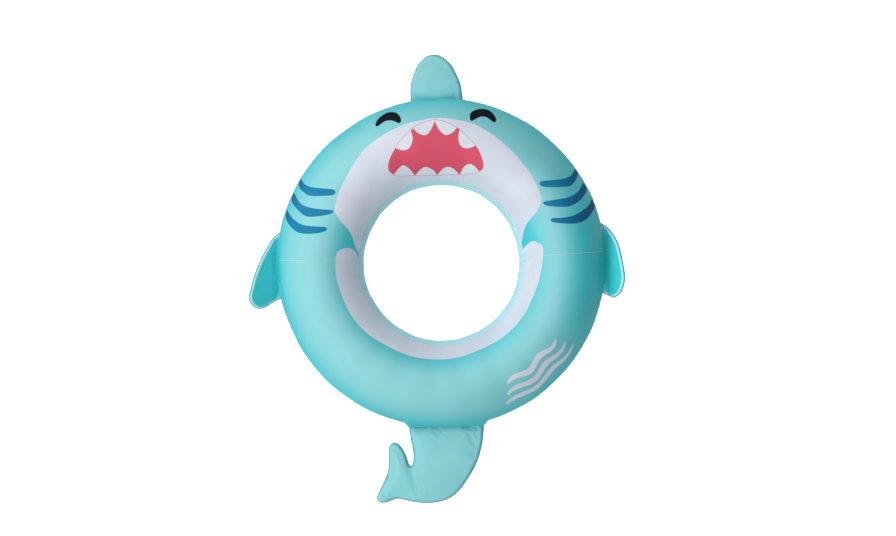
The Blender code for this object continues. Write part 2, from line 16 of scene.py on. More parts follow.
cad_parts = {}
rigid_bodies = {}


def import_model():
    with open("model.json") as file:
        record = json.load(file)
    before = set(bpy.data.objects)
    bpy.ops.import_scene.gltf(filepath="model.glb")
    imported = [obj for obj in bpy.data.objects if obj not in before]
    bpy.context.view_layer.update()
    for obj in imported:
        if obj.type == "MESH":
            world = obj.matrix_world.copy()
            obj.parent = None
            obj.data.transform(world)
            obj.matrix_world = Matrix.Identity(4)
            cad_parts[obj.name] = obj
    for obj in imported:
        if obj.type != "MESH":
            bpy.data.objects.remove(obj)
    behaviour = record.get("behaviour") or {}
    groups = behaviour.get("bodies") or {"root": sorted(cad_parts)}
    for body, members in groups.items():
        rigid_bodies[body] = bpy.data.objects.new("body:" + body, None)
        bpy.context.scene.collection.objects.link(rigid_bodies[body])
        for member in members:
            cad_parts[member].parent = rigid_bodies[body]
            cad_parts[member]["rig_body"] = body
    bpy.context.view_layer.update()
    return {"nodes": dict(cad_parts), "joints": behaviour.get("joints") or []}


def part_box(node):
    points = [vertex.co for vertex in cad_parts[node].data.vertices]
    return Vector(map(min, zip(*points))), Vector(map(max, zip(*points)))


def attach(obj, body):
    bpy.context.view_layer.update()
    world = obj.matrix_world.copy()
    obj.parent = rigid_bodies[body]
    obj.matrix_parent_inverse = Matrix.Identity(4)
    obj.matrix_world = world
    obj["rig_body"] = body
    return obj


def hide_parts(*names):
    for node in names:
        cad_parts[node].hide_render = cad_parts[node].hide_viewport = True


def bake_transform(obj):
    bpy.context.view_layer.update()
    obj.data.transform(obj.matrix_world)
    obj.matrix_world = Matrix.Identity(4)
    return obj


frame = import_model()
JOINTS = {joint["name"]: joint for joint in frame["joints"]}
MM = 0.001

# The ring, from the frame
UPPER_LOW, UPPER_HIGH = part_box("front_upper_panel")
LOWER_LOW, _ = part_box("front_lower_panel")
AXIS_X = (UPPER_LOW.x + UPPER_HIGH.x) / 2
AXIS_Y = (LOWER_LOW.y + UPPER_HIGH.y) / 2
RING_RADIUS = (UPPER_HIGH.x - UPPER_LOW.x) / 2
TUBE_HEIGHT = JOINTS["tail_fold"]["pos_m"][2]
RESTING_ANGLE = math.radians(18)
TUBE_RADIUS = TUBE_HEIGHT / math.cos(RESTING_ANGLE)
CENTRE_RADIUS = RING_RADIUS - TUBE_RADIUS

# Seams of the cover
INNER_SEAM = math.radians(155)
LEFT_SEAM = math.radians(177.4)
RIGHT_SEAM = math.radians(2.2)
SEAM_DEPTH = 1.1 * MM
SEAM_WIDTH = 2.0 * MM
PUCKER_HEIGHT = 0.40 * MM
PUCKER_REACH = 9.0 * MM

# How the fins pull the ring's edge straight
TAIL_PULL_WIDTH = 66 * MM
TAIL_PULL_FADE = 13 * MM
LEFT_CHORD = 300.6 * MM
RIGHT_CHORD = 302.4 * MM
PULL_SPREAD = math.radians(17)

# Flats that the zip and the valve are sewn to
ZIP_MIDDLE = math.radians(315)
ZIP_HALF = math.radians(9)
ZIP_SPAN = (math.radians(213), math.radians(267))
ZIP_FADE = math.radians(4)
VALVE_FLAT = 14 * MM
VALVE_FADE = 12 * MM
VALVE_HOLE = 9.6 * MM
BLADDER_DEPTH = 3.0 * MM

# Camera
CAMERA_HEIGHT = 4.0
CAMERA_LENS = 86.5
CAMERA_TURN = math.radians(-1.8)
CAMERA_OFFSET = (12.0 * MM, -10.1 * MM)

# Where the painted highlight on the tube's crown fades out, along X, leaving painted shade at the
# far right
RIGHT_SHADE_START = 200 * MM
RIGHT_SHADE_END = 285 * MM

WHITE = (0.80, 0.80, 0.80)
TEAL = (0.010, 0.53, 0.60)
# Painted highlight: the teal made paler along the top of the tube.
PAINTED_HIGHLIGHT_TEAL = (0.15, 0.56, 0.60)
# Painted shade and painted light: the side fins are one fabric, the left made darker for the shade
# in its crease and the right lighter to stand in for light.
PAINTED_SHADE_FIN_TEAL = (0.030, 0.47, 0.51)
PAINTED_LIGHT_FIN_TEAL = (0.050, 0.64, 0.68)
# Painted highlight: a paler teal over the whole dorsal fin and tail, standing in for the light on
# their upward faces.
PAINTED_HIGHLIGHT_FIN = (0.14, 0.55, 0.59)
# Painted highlights along the inside of the side fins' seams.
LEFT_RIM_HIGHLIGHT = (0.30, 0.66, 0.70)
RIGHT_RIM_HIGHLIGHT = (0.42, 0.80, 0.84)
AQUA = (0.42, 0.72, 0.78)
BACK_TEAL = (0.04, 0.31, 0.35)
BELLY = (0.62, 0.67, 0.76)
TOOTH = (0.68, 0.72, 0.79)
MOUTH = (0.66, 0.080, 0.140)
MOUTH_LINE = (0.62, 0.36, 0.44)
EYE = (0.005, 0.009, 0.015)
GILL = (0.006, 0.10, 0.25)
# Painted highlight: the gills made paler along the top of the tube.
PAINTED_HIGHLIGHT_GILL = (0.010, 0.20, 0.38)


# ---------------------------------------------------------------- materials

def blank_material(name):
    made = bpy.data.materials.new(name)
    made.use_nodes = True
    return made, made.node_tree.nodes, made.node_tree.links


def add_node(nodes, kind, **values):
    node = nodes.new(kind)
    for name, value in values.items():
        setattr(node, name, value)
    return node


def noise(nodes, links, scale, detail, source):
    made = add_node(nodes, "ShaderNodeTexNoise")
    made.inputs["Scale"].default_value = scale
    made.inputs["Detail"].default_value = detail
    links.new(source, made.inputs["Vector"])
    return made.outputs["Fac"]


def mottled(nodes, links, colour, spread, scale, source):
    """A colour that varies a little from place to place."""
    ramp = add_node(nodes, "ShaderNodeValToRGB")
    ramp.color_ramp.elements[0].position = 0.3
    ramp.color_ramp.elements[1].position = 0.7
    ramp.color_ramp.elements[0].color = (*[c * (1 - spread) for c in colour], 1.0)
    ramp.color_ramp.elements[1].color = (*[min(1.0, c * (1 + spread)) for c in colour], 1.0)
    links.new(noise(nodes, links, scale, 4.0, source), ramp.inputs["Fac"])
    return ramp.outputs["Color"]


def combined(nodes, links, first, second, operation):
    node = add_node(nodes, "ShaderNodeMath", operation=operation)
    links.new(first, node.inputs[0])
    if isinstance(second, float):
        node.inputs[1].default_value = second
    else:
        links.new(second, node.inputs[1])
    return node.outputs[0]


def blended(nodes, links, first, second, source, stops, fade=None):
    """A colour that turns into another by a value's stops, each (value, share of the other).

    Fade is a value that the shares are multiplied by.
    """
    reach = stops[-1][0]
    scaled = combined(nodes, links, source, 1 / reach, "MULTIPLY")
    ramp = add_node(nodes, "ShaderNodeValToRGB")
    ramp.color_ramp.interpolation = "EASE"
    elements = ramp.color_ramp.elements
    while len(elements) < len(stops):
        elements.new(0.5)
    for element, (value, share) in zip(elements, stops):
        element.position = value / reach
        element.color = (share, share, share, 1.0)
    links.new(scaled, ramp.inputs["Fac"])
    share = ramp.outputs["Color"]
    if fade:
        share = combined(nodes, links, share, fade, "MULTIPLY")
    mix = add_node(nodes, "ShaderNodeMix", data_type="RGBA")
    links.new(share, mix.inputs["Factor"])
    links.new(first, mix.inputs["A"])
    mix.inputs["B"].default_value = (*second, 1.0)
    return mix.outputs["Result"]


def roughen(nodes, links, source, strength, distance):
    """Bumps the shader's surface by a height map."""
    bump = add_node(nodes, "ShaderNodeBump")
    bump.inputs["Strength"].default_value = strength
    bump.inputs["Distance"].default_value = distance
    links.new(source, bump.inputs["Height"])
    links.new(bump.outputs["Normal"], nodes["Principled BSDF"].inputs["Normal"])


def uv_value(nodes, links, uv_map, axis):
    uv = add_node(nodes, "ShaderNodeUVMap", uv_map=uv_map)
    split = add_node(nodes, "ShaderNodeSeparateXYZ")
    links.new(uv.outputs["UV"], split.inputs[0])
    return split.outputs[axis]


def wave_along(nodes, links, axis, period):
    """A sine along one axis of the cloth's UV map, which is in metres."""
    run = uv_value(nodes, links, "Cloth", axis)
    scaled = combined(nodes, links, run, math.tau / period, "MULTIPLY")
    wave = add_node(nodes, "ShaderNodeMath", operation="SINE")
    links.new(scaled, wave.inputs[0])
    return wave.outputs[0]


def right_shade_fade(nodes, links, place):
    """1 over most of the ring, falling to 0 at its far right, where it paints shade."""
    split = add_node(nodes, "ShaderNodeSeparateXYZ")
    links.new(place.outputs["Object"], split.inputs[0])
    fade = add_node(nodes, "ShaderNodeMapRange", interpolation_type="SMOOTHSTEP")
    fade.inputs["From Min"].default_value = RIGHT_SHADE_START
    fade.inputs["From Max"].default_value = RIGHT_SHADE_END
    fade.inputs["To Min"].default_value = 1.0
    fade.inputs["To Max"].default_value = 0.0
    links.new(split.outputs["X"], fade.inputs["Value"])
    return fade.outputs["Result"]


def fabric(name, colour, satin=0.2, density=1.5, across=None, rim=None, period=0.9 * MM):
    """Printed knit: its colour mottles slightly, and its loops run along the UV map.

    Satin is how strongly it reflects, and density is its refractive index. Across is a second
    colour and its stops round the tube, and rim is the painted highlight just inside a fin's seam.
    """
    made, nodes, links = blank_material(name)
    shader = nodes["Principled BSDF"]
    place = add_node(nodes, "ShaderNodeTexCoord")
    tint = mottled(nodes, links, colour, 0.045, 14.0, place.outputs["Object"])
    if across:
        round_tube = uv_value(nodes, links, "Cloth", "Y")
        # The crown's painted highlight is faded out at the far right, which paints shade there.
        fade = right_shade_fade(nodes, links, place) if across[1] == HIGHLIGHT_CROWN_STOPS else None
        tint = blended(nodes, links, tint, across[0], round_tube, across[1], fade)
    if rim:
        depth = uv_value(nodes, links, "Edge", "X")
        tint = blended(nodes, links, tint, rim, depth, RIM_HIGHLIGHT_STOPS)
    links.new(tint, shader.inputs["Base Color"])
    ribs = wave_along(nodes, links, "X", period)
    rows = wave_along(nodes, links, "Y", period * 1.3)
    loops = combined(nodes, links, ribs, rows, "MULTIPLY")
    grain = noise(nodes, links, 900.0, 2.0, place.outputs["Object"])
    height = combined(nodes, links, loops, grain, "ADD")
    roughen(nodes, links, height, 0.5, 0.05 * MM)
    shader.inputs["Roughness"].default_value = 0.55
    shader.inputs["Specular IOR Level"].default_value = satin
    shader.inputs["IOR"].default_value = density
    return made


def plastic(name, colour, roughness):
    """Moulded plastic with a faint orange-peel surface."""
    made, nodes, links = blank_material(name)
    shader = nodes["Principled BSDF"]
    place = add_node(nodes, "ShaderNodeTexCoord")
    tint = mottled(nodes, links, colour, 0.03, 60.0, place.outputs["Object"])
    links.new(tint, shader.inputs["Base Color"])
    grain = noise(nodes, links, 1500.0, 2.0, place.outputs["Object"])
    roughen(nodes, links, grain, 0.25, 0.03 * MM)
    shader.inputs["Roughness"].default_value = roughness
    return made


def metal(name, colour, roughness):
    """Plated metal: the moulded plastic's look with its faint orange-peel, made metallic."""
    made = plastic(name, colour, roughness)
    shader = made.node_tree.nodes["Principled BSDF"]
    shader.inputs["Metallic"].default_value = 1.0
    return made


def woven_tape(name, colour):
    """Zip tape: twill lines at a slant, worked out in object space."""
    made, nodes, links = blank_material(name)
    shader = nodes["Principled BSDF"]
    place = add_node(nodes, "ShaderNodeTexCoord")
    tint = mottled(nodes, links, colour, 0.12, 500.0, place.outputs["Object"])
    links.new(tint, shader.inputs["Base Color"])
    twill = add_node(nodes, "ShaderNodeTexWave", bands_direction="DIAGONAL")
    twill.inputs["Scale"].default_value = 260.0
    twill.inputs["Distortion"].default_value = 0.6
    links.new(place.outputs["Object"], twill.inputs["Vector"])
    roughen(nodes, links, twill.outputs["Fac"], 0.7, 0.15 * MM)
    shader.inputs["Roughness"].default_value = 0.85
    return made


# Stops, as (metres of cloth, share): round the tube from the outer seam, and in from a fin's seam
# The crown stops place a painted highlight along the top of the tube.
HIGHLIGHT_CROWN_STOPS = ((0.0, 0.0), (0.020, 0.0), (0.080, 1.0), (0.135, 1.0), (0.185, 0.0), (0.2175, 0.0))
BAND_STOPS = ((0.0, 0.0), (0.2175, 1.0), (0.256, 1.0), (0.275, 0.0), (0.52, 0.0))
# The rim stops place a painted highlight just inside a fin's seam.
RIM_HIGHLIGHT_STOPS = ((0.0, 0.1), (0.0018, 1.0), (0.0030, 1.0), (0.0055, 0.0), (0.010, 0.0))

# The teal print carries a painted highlight along the top of the tube, faded out as painted shade
# at the far right.
TEAL_FABRIC = fabric("teal_print", TEAL, 0.75, 1.8, (PAINTED_HIGHLIGHT_TEAL, HIGHLIGHT_CROWN_STOPS))
# The dorsal fin and tail are painted in the paler, highlighted teal.
FIN_FABRIC = fabric("fin_fabric", PAINTED_HIGHLIGHT_FIN, 0.75, 1.8)
# The side fins' materials paint shade on the left fin and light on the right one, each with a
# painted rim highlight.
LEFT_FIN_SHADED_FABRIC = fabric("left_fin_painted_shade", PAINTED_SHADE_FIN_TEAL, 0.3, rim=LEFT_RIM_HIGHLIGHT)
RIGHT_FIN_LIT_FABRIC = fabric("right_fin_painted_light", PAINTED_LIGHT_FIN_TEAL, 0.3, rim=RIGHT_RIM_HIGHLIGHT)
BACK_FABRIC = fabric("back_knit", BACK_TEAL, 0.4, across=(AQUA, BAND_STOPS))
BELLY_FABRIC = fabric("belly_print", BELLY, 0.7)
TOOTH_FABRIC = fabric("tooth_print", TOOTH)
MOUTH_FABRIC = fabric("mouth_print", MOUTH)
LINE_FABRIC = fabric("mouth_line_print", MOUTH_LINE)
EYE_FABRIC = fabric("eye_print", EYE, 0.1)
# The gills carry the crown's painted highlight, faded out as painted shade at the far right.
GILL_FABRIC = fabric("gill_print", GILL, 0.1, across=(PAINTED_HIGHLIGHT_GILL, HIGHLIGHT_CROWN_STOPS))
PALE_THREAD = fabric("pale_thread", (0.62, 0.70, 0.74), period=0.5 * MM)
THREAD = fabric("seam_thread", (0.02, 0.22, 0.25), period=0.5 * MM)
WHITE_PLASTIC = plastic("valve_white", (0.75, 0.77, 0.78), 0.35)
FILM = plastic("bladder_blue", (0.35, 0.55, 0.66), 0.2)
TAPE = woven_tape("zip_tape_weave", (0.03, 0.20, 0.23))
COIL_PLASTIC = plastic("zip_coil_nylon", (0.05, 0.26, 0.30), 0.4)
METAL = metal("zip_plating", (0.62, 0.64, 0.66), 0.28)


# ---------------------------------------------------------------- the ring's surface

def wrapped(angle):
    return (np.asarray(angle) + np.pi) % (2 * np.pi) - np.pi


def smooth_step(low, high, value):
    share = np.clip((value - low) / (high - low), 0.0, 1.0)
    return share * share * (3 - 2 * share)


def ripple(theta, count):
    """Puckers of uneven size along a seam, this many round the ring."""
    strength = 0.65 + 0.35 * np.sin(theta * (count // 7) + 1.0)
    return np.sin(count * theta + 1.5 * np.sin(theta * (count // 5))) * strength


def seam_relief(distance, waves):
    valley = -SEAM_DEPTH * np.exp(-(distance / SEAM_WIDTH) ** 2)
    return valley + PUCKER_HEIGHT * waves * np.exp(-distance / PUCKER_REACH)


def cover_relief(theta, phi):
    """How far the cloth stands off the plain tube: seams, puckers and slow waves."""
    run = CENTRE_RADIUS + TUBE_RADIUS * np.cos(phi)
    outer = TUBE_RADIUS * np.abs(wrapped(phi))
    inner = TUBE_RADIUS * np.abs(wrapped(phi - INNER_SEAM))
    relief = seam_relief(outer, ripple(theta, 140)) + seam_relief(inner, ripple(theta, 70))
    for seam in (LEFT_SEAM, RIGHT_SEAM):
        across = np.abs(wrapped(theta - seam)) * run
        relief = relief + seam_relief(across, np.sin(34 * phi + seam)) * 0.6
    slow = np.sin(5 * theta + 0.7) + 0.7 * np.sin(13 * theta + 2.0 * np.cos(phi))
    return relief + 0.35 * MM * slow + 0.25 * MM * np.sin(23 * theta - 1.0)


def edge_pull(theta, phi):
    """The tail pulls the ring's edge out to a straight line, and the side fins pull it in."""
    at_tail = wrapped(theta + np.pi / 2)
    across = np.abs(RING_RADIUS * np.sin(at_tail))
    out = RING_RADIUS / np.maximum(np.cos(at_tail), 0.5) - RING_RADIUS
    fade = 1 - smooth_step(TAIL_PULL_WIDTH, TAIL_PULL_WIDTH + TAIL_PULL_FADE, across)
    pull = np.where(np.abs(at_tail) < 1.0, out * fade, 0.0)
    for middle, chord in ((np.pi, LEFT_CHORD), (0.0, RIGHT_CHORD)):
        away = wrapped(theta - middle)
        flat = chord / np.maximum(np.cos(away), 0.5) - RING_RADIUS
        pull = pull + np.where(np.abs(away) < 0.5, np.minimum(flat, 0.0), 0.0)
    return pull * np.exp(-(wrapped(phi) / PULL_SPREAD) ** 2)


def flat_for_zip(theta, phi, reach):
    """Inside the zip's band the section is straight instead of round."""
    off = wrapped(phi - ZIP_MIDDLE)
    flat = TUBE_RADIUS * math.cos(ZIP_HALF) / np.maximum(np.cos(off), 0.5)
    theta = theta % (2 * np.pi)
    start, end = ZIP_SPAN
    weight = smooth_step(start - ZIP_FADE, start, theta)
    weight = weight * (1 - smooth_step(end, end + ZIP_FADE, theta))
    pressed = reach + (np.minimum(flat, reach) - reach) * weight
    return np.where(np.abs(off) < ZIP_HALF, pressed, reach)


VALVE_AXIS = -Vector(JOINTS["valve_stem_press"]["axis"]).normalized()
if VALVE_AXIS.z > 0:
    VALVE_AXIS = -VALVE_AXIS
PORT_LOW, PORT_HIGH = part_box("valve_port_ring")
PORT_THICKNESS = 1.4 * MM
SEAM_GAP = 0.3 * MM
VALVE_REACH = 20 * MM
GROUND_ROUNDING = 1.2 * MM
VALVE_PLACE = (PORT_LOW + PORT_HIGH) / 2 - VALVE_AXIS * (PORT_THICKNESS / 2 + SEAM_GAP)


def flat_for_valve(points):
    """Presses the cloth to the plane that the valve's ring is sewn to."""
    offset = points - np.array(VALVE_PLACE)
    height = offset @ np.array(VALVE_AXIS)
    across = np.linalg.norm(offset - height[..., None] * np.array(VALVE_AXIS), axis=-1)
    near = np.abs(height) < VALVE_REACH
    weight = np.where(near, 1 - smooth_step(VALVE_FLAT, VALVE_FLAT + VALVE_FADE, across), 0.0)
    return points - (weight * height)[..., None] * np.array(VALVE_AXIS)


def ring_points(theta, phi, lift=0.0):
    """Points on the cover, as an array with a last axis of three."""
    reach = TUBE_RADIUS + cover_relief(theta, phi) + lift
    reach = flat_for_zip(theta, phi, reach)
    out = CENTRE_RADIUS + reach * np.cos(phi) + edge_pull(theta, phi)
    height = TUBE_HEIGHT + reach * np.sin(phi)
    height = (height + np.sqrt(height ** 2 + GROUND_ROUNDING ** 2)) / 2
    x = AXIS_X + out * np.cos(theta)
    y = AXIS_Y + out * np.sin(theta)
    return flat_for_valve(np.stack([x, y, height], axis=-1))


def ring_normals(theta, phi):
    step = 1e-3
    along = ring_points(theta + step, phi) - ring_points(theta - step, phi)
    across = ring_points(theta, phi + step) - ring_points(theta, phi - step)
    normal = np.cross(along, across)
    return normal / np.linalg.norm(normal, axis=-1, keepdims=True)


# ---------------------------------------------------------------- mesh helpers

def link(obj):
    bpy.context.scene.collection.objects.link(obj)
    return obj


def add_uv(mesh, name, values):
    """A UV map from one pair of values for each point."""
    corners = np.zeros(len(mesh.loops), np.int32)
    mesh.loops.foreach_get("vertex_index", corners)
    layer = mesh.uv_layers.new(name=name)
    layer.data.foreach_set("uv", np.asarray(values, np.float32)[corners].ravel())


def mesh_object(name, points, faces, looks, face_looks=None, uv=None, smooth=True):
    mesh = bpy.data.meshes.new(name)
    mesh.from_pydata([tuple(p) for p in points], [], [tuple(int(i) for i in f) for f in faces])
    for look in looks:
        mesh.materials.append(look)
    if face_looks is not None:
        mesh.polygons.foreach_set("material_index", np.asarray(face_looks, np.int32))
    if uv is not None:
        add_uv(mesh, "Cloth", uv)
    if smooth:
        mesh.shade_smooth()
    mesh.update()
    return link(bpy.data.objects.new(name, mesh))


def tube_mesh(name, line, radius, sides, look, closed=False):
    """A round cord along a line of points, with its ends filled unless it is closed."""
    line = np.asarray(line, float)
    ahead = np.roll(line, -1, axis=0) - line
    behind = line - np.roll(line, 1, axis=0)
    if not closed:
        ahead[-1], behind[0] = behind[-1], ahead[0]
    tangent = ahead / np.linalg.norm(ahead, axis=1, keepdims=True)
    tangent += behind / np.linalg.norm(behind, axis=1, keepdims=True)
    tangent /= np.linalg.norm(tangent, axis=1, keepdims=True)
    side = np.cross(tangent, (0.0, 0.0, 1.0))
    weak = np.linalg.norm(side, axis=1) < 0.2
    side[weak] = np.cross(tangent[weak], (1.0, 0.0, 0.0))
    side /= np.linalg.norm(side, axis=1, keepdims=True)
    up = np.cross(side, tangent)
    turns = np.arange(sides) * math.tau / sides
    ring = np.cos(turns)[None, :, None] * side[:, None] + np.sin(turns)[None, :, None] * up[:, None]
    points = (line[:, None] + radius * ring).reshape(-1, 3)
    count = len(line)
    faces = []
    for i in range(count if closed else count - 1):
        j = (i + 1) % count
        for k in range(sides):
            m = (k + 1) % sides
            faces.append((i * sides + k, i * sides + m, j * sides + m, j * sides + k))
    if not closed:
        faces.append(tuple(range(sides))[::-1])
        faces.append(tuple((count - 1) * sides + k for k in range(sides)))
    return mesh_object(name, points, faces, [look])


# ---------------------------------------------------------------- printed artwork

# Artwork points are in millimetres in plan, from the ring's axis, x to the right and y
# towards the dorsal fin, as the camera sees them from above.
UPPER_BELLY = [
    (-150, 20), (-156, 29), (-168, 62), (-185, 84), (-195, 102), (-193, 118), (-181, 148),
    (-149, 201), (-118, 230), (-79, 252), (-46, 263), (-2, 269), (33, 265), (68, 256),
    (108, 231), (143, 197), (172, 158), (188, 122), (189, 109), (180, 90), (160, 66),
    (151, 38), (146, 24),
]
LOWER_BELLY = [
    (-152, 8), (-154.5, 16), (-158.5, 25), (-165.5, 31), (-176, 33), (-188, 29), (-195, 20),
    (-197, -1), (-195, -25), (-187.5, -52.5), (-178, -78), (-165, -101), (-149, -120),
    (-129, -137), (-88, -161), (-51, -174), (-14, -179), (24, -177), (69, -163),
    (112, -140), (143, -111), (164, -77), (182, -32), (190, 18), (182, 31), (168, 34),
    (152, 20), (148, 8),
]
MOUTH_LEFT = [(-84, 166), (-92, 174), (-93, 185), (-88, 200), (-79, 216)]
MOUTH_RIGHT = [(71, 216), (78, 202), (83, 187), (84, 179), (82, 172), (76, 167)]
TOP_TEETH = [
    [(-79, 216), (-65, 211), (-54, 214), (-49, 222), (-46, 233), (-49, 247)],
    [(-49, 247), (-45, 251)],
    [(-45, 251), (-35, 242), (-25, 238), (-18, 240), (-11, 249), (-7, 257), (-4, 264)],
    [(-4, 264), (0, 254), (6, 244), (13, 238), (19, 237), (28, 241), (37, 250)],
    [(37, 250), (42, 247)],
    [(42, 247), (39, 234), (40, 222), (45, 214), (54, 211), (64, 213), (71, 216)],
]
BOTTOM_TEETH = [
    [(76, 167), (68, 177), (58, 182), (48, 177), (41, 166), (39, 162)],
    [(39, 162), (29, 173), (18, 178), (8, 174), (-3, 163)],
    [(-3, 163), (-10, 173), (-24, 179), (-34, 174), (-44, 163)],
    [(-44, 163), (-52, 174), (-64, 183), (-73, 178), (-84, 166)],
]
MOUTH_TOP = [
    (-79, 216), (-67, 232), (-49, 249), (-32, 259), (-13, 265), (-4, 266), (7, 264),
    (24, 258), (40, 248), (56, 232), (71, 216),
]
MOUTH_BOTTOM = [(76, 167), (62, 164), (39, 163), (-3, 163), (-44, 163), (-72, 163), (-84, 166)]
LEFT_EYE = [
    (-114.5, 262), (-114, 258), (-110.7, 257), (-106, 260), (-99, 265), (-91, 267.5),
    (-83, 267), (-75.6, 264), (-70.5, 262), (-67.2, 264), (-66.5, 269), (-69.4, 276),
    (-75, 281), (-83, 283), (-92.4, 282), (-102, 277), (-110, 270), (-114.5, 262),
]
RIGHT_EYE = [
    (61.2, 270), (62, 263.5), (66, 262), (72, 265), (79.7, 268.4), (87.3, 269), (94.7, 266),
    (102, 260), (106.5, 257.7), (110, 260.4), (109.8, 265.5), (105, 273.6), (97.7, 280),
    (89, 283), (79, 283.5), (69, 280.5), (63, 276), (61.2, 270),
]
GILLS = [
    [(-255.5, 165), (-260, 155), (-257, 144.5), (-244.5, 134), (-234, 131.5), (-217, 131),
     (-199.6, 131.6), (-193, 135), (-193, 139.5), (-199, 143), (-217, 145), (-238, 148.4),
     (-250, 155), (-255.5, 165)],
    [(-270, 139), (-275, 127), (-269, 113.4), (-255, 98), (-243, 93), (-222, 94), (-204, 97),
     (-197.6, 100.7), (-202, 104.4), (-221, 106.5), (-242, 110.5), (-258.5, 119), (-270, 139)],
    [(-283, 108), (-286, 94.5), (-279, 78), (-266, 65.5), (-250, 61.6), (-229, 62), (-215, 65),
     (-210.5, 69.3), (-215, 73.4), (-234, 75), (-255, 78.5), (-270, 88), (-278, 98), (-283, 108)],
    [(254, 168), (259, 158), (252.5, 143), (242.6, 135), (225, 134), (208, 134), (192, 136),
     (187, 140.5), (189, 145), (196.5, 146.5), (220, 147.7), (239, 151), (248, 157), (254, 168)],
    [(268, 141), (274, 127), (261, 108), (241, 97.5), (218, 97.4), (199, 100), (192.4, 104.8),
     (197, 108), (218.6, 111), (240, 114.5), (257.7, 124.5), (268, 141)],
    [(283, 111), (287, 93), (272, 72.5), (252, 65.4), (229, 66), (209.5, 69), (205.8, 73),
     (210, 76.4), (229, 77), (250.6, 81), (270, 92), (278.4, 101), (283, 111)],
]
LINE_WIDTH = 1.3
STROKE_STEPS = 6
BELLY_EDGE_STEPS = 60

# The wave lines, in degrees round the ring and round the tube
WAVE_MARKS = 3
WAVE_START, WAVE_END = 293, 327
WAVE_TUBE = 42
WAVE_SPACING = 14.5
WAVE_SWING = 3.0
WAVE_PERIODS = 2.0
WAVE_HALF_WIDTH = 4.3
WAVE_STEPS = 48


def stroke(points, steps=STROKE_STEPS):
    """A smooth line through points, without its last one."""
    points = [Vector(p) for p in points]
    padded = [2 * points[0] - points[1], *points, 2 * points[-1] - points[-2]]
    line = []
    for a, b, c, d in zip(padded, padded[1:], padded[2:], padded[3:]):
        for i in range(steps):
            t = i / steps
            line.append(
                0.5 * (2 * b + (c - a) * t + (2 * a - 5 * b + 4 * c - d) * t * t
                       + (3 * b - a - 3 * c + d) * t ** 3)
            )
    return [tuple(p) for p in line]


def loop(*strokes):
    return [p for one in strokes for p in stroke(one)]


def ribbon(points, width):
    """The outline of a line of this width."""
    line = [Vector(p) for p in stroke(points)] + [Vector(points[-1])]
    sides = ([], [])
    for i, point in enumerate(line):
        run = line[min(i + 1, len(line) - 1)] - line[max(i - 1, 0)]
        normal = Vector((-run.y, run.x)).normalized() * width / 2
        sides[0].append(tuple(point + normal))
        sides[1].append(tuple(point - normal))
    return sides[0] + sides[1][::-1]


def ring_angles(outline):
    """Ring and tube angles, in degrees, of points on the ring's front that the camera sees."""
    angles = []
    lens = Vector(CAMERA_OFFSET) / MM
    for x, y in outline:
        seen = Vector((x, y))
        place = seen
        for _ in range(4):
            cosine = (place.length - CENTRE_RADIUS / MM) / (TUBE_RADIUS / MM)
            tube = math.acos(max(-1.0, min(1.0, cosine)))
            rise = TUBE_RADIUS * math.sin(tube)
            place = lens + (seen - lens) * (CAMERA_HEIGHT - rise) / CAMERA_HEIGHT
        angles.append((math.degrees(math.atan2(place.y, place.x)) % 360, math.degrees(tube)))
    return angles


def wave_mark(index):
    """One of the generic wave lines: a tapered ribbon along the ring, in angles."""
    start, end = WAVE_START + 2.0 * index, WAVE_END - 1.0 * index
    tube = WAVE_TUBE + WAVE_SPACING * index
    low, high = [], []
    for i in range(WAVE_STEPS + 1):
        t = i / WAVE_STEPS
        middle = tube + WAVE_SWING * math.sin(math.tau * WAVE_PERIODS * t)
        half = WAVE_HALF_WIDTH * math.sin(math.pi * min(1.0, 0.08 + 0.92 * t)) ** 0.5
        low.append((start + (end - start) * t, middle - half))
        high.append((start + (end - start) * t, middle + half))
    return low + high[::-1]


def artwork():
    """Each printed area as (outline in angles, look), later ones over earlier ones."""
    mouth = loop(MOUTH_LEFT, *TOP_TEETH, MOUTH_RIGHT, *BOTTOM_TEETH)
    gums = loop(MOUTH_LEFT, MOUTH_TOP, MOUTH_RIGHT, MOUTH_BOTTOM)
    areas = [
        (loop(UPPER_BELLY) + [UPPER_BELLY[-1]], BELLY_FABRIC),
        (loop(LOWER_BELLY) + [LOWER_BELLY[-1]], BELLY_FABRIC),
        (gums, TOOTH_FABRIC),
        (ribbon(MOUTH_TOP, LINE_WIDTH), LINE_FABRIC),
        (ribbon(MOUTH_BOTTOM, LINE_WIDTH), LINE_FABRIC),
        (mouth, MOUTH_FABRIC),
        (loop(LEFT_EYE), EYE_FABRIC),
        (loop(RIGHT_EYE), EYE_FABRIC),
    ]
    for gill in GILLS:
        areas.append((loop(gill), GILL_FABRIC))
    placed = [(ring_angles(outline), look) for outline, look in areas]
    # The belly runs on to the inner seam, so its open side is closed beyond the seam.
    seam = math.degrees(INNER_SEAM) + 3
    for i in (0, 1):
        outline, look = placed[i]
        first, last = outline[0][0], outline[-1][0]
        if i == 1 and last < first:
            last += 360
            outline = [(t + 360 if t < 90 else t, p) for t, p in outline]
        shares = [k / BELLY_EDGE_STEPS for k in range(BELLY_EDGE_STEPS + 1)]
        inner = [(last + (first - last) * share, seam) for share in shares]
        placed[i] = (outline + inner, look)
    return placed + [(wave_mark(i), BELLY_FABRIC) for i in range(WAVE_MARKS)]


# ---------------------------------------------------------------- the cover

FRONT_GRID = (300, 62)
BACK_GRID = (280, 84)
SEAM_THREAD_RADIUS = 0.36 * MM
SEAM_THREAD_LIFT = 0.15 * MM
SEAM_THREAD_START = math.radians(2)


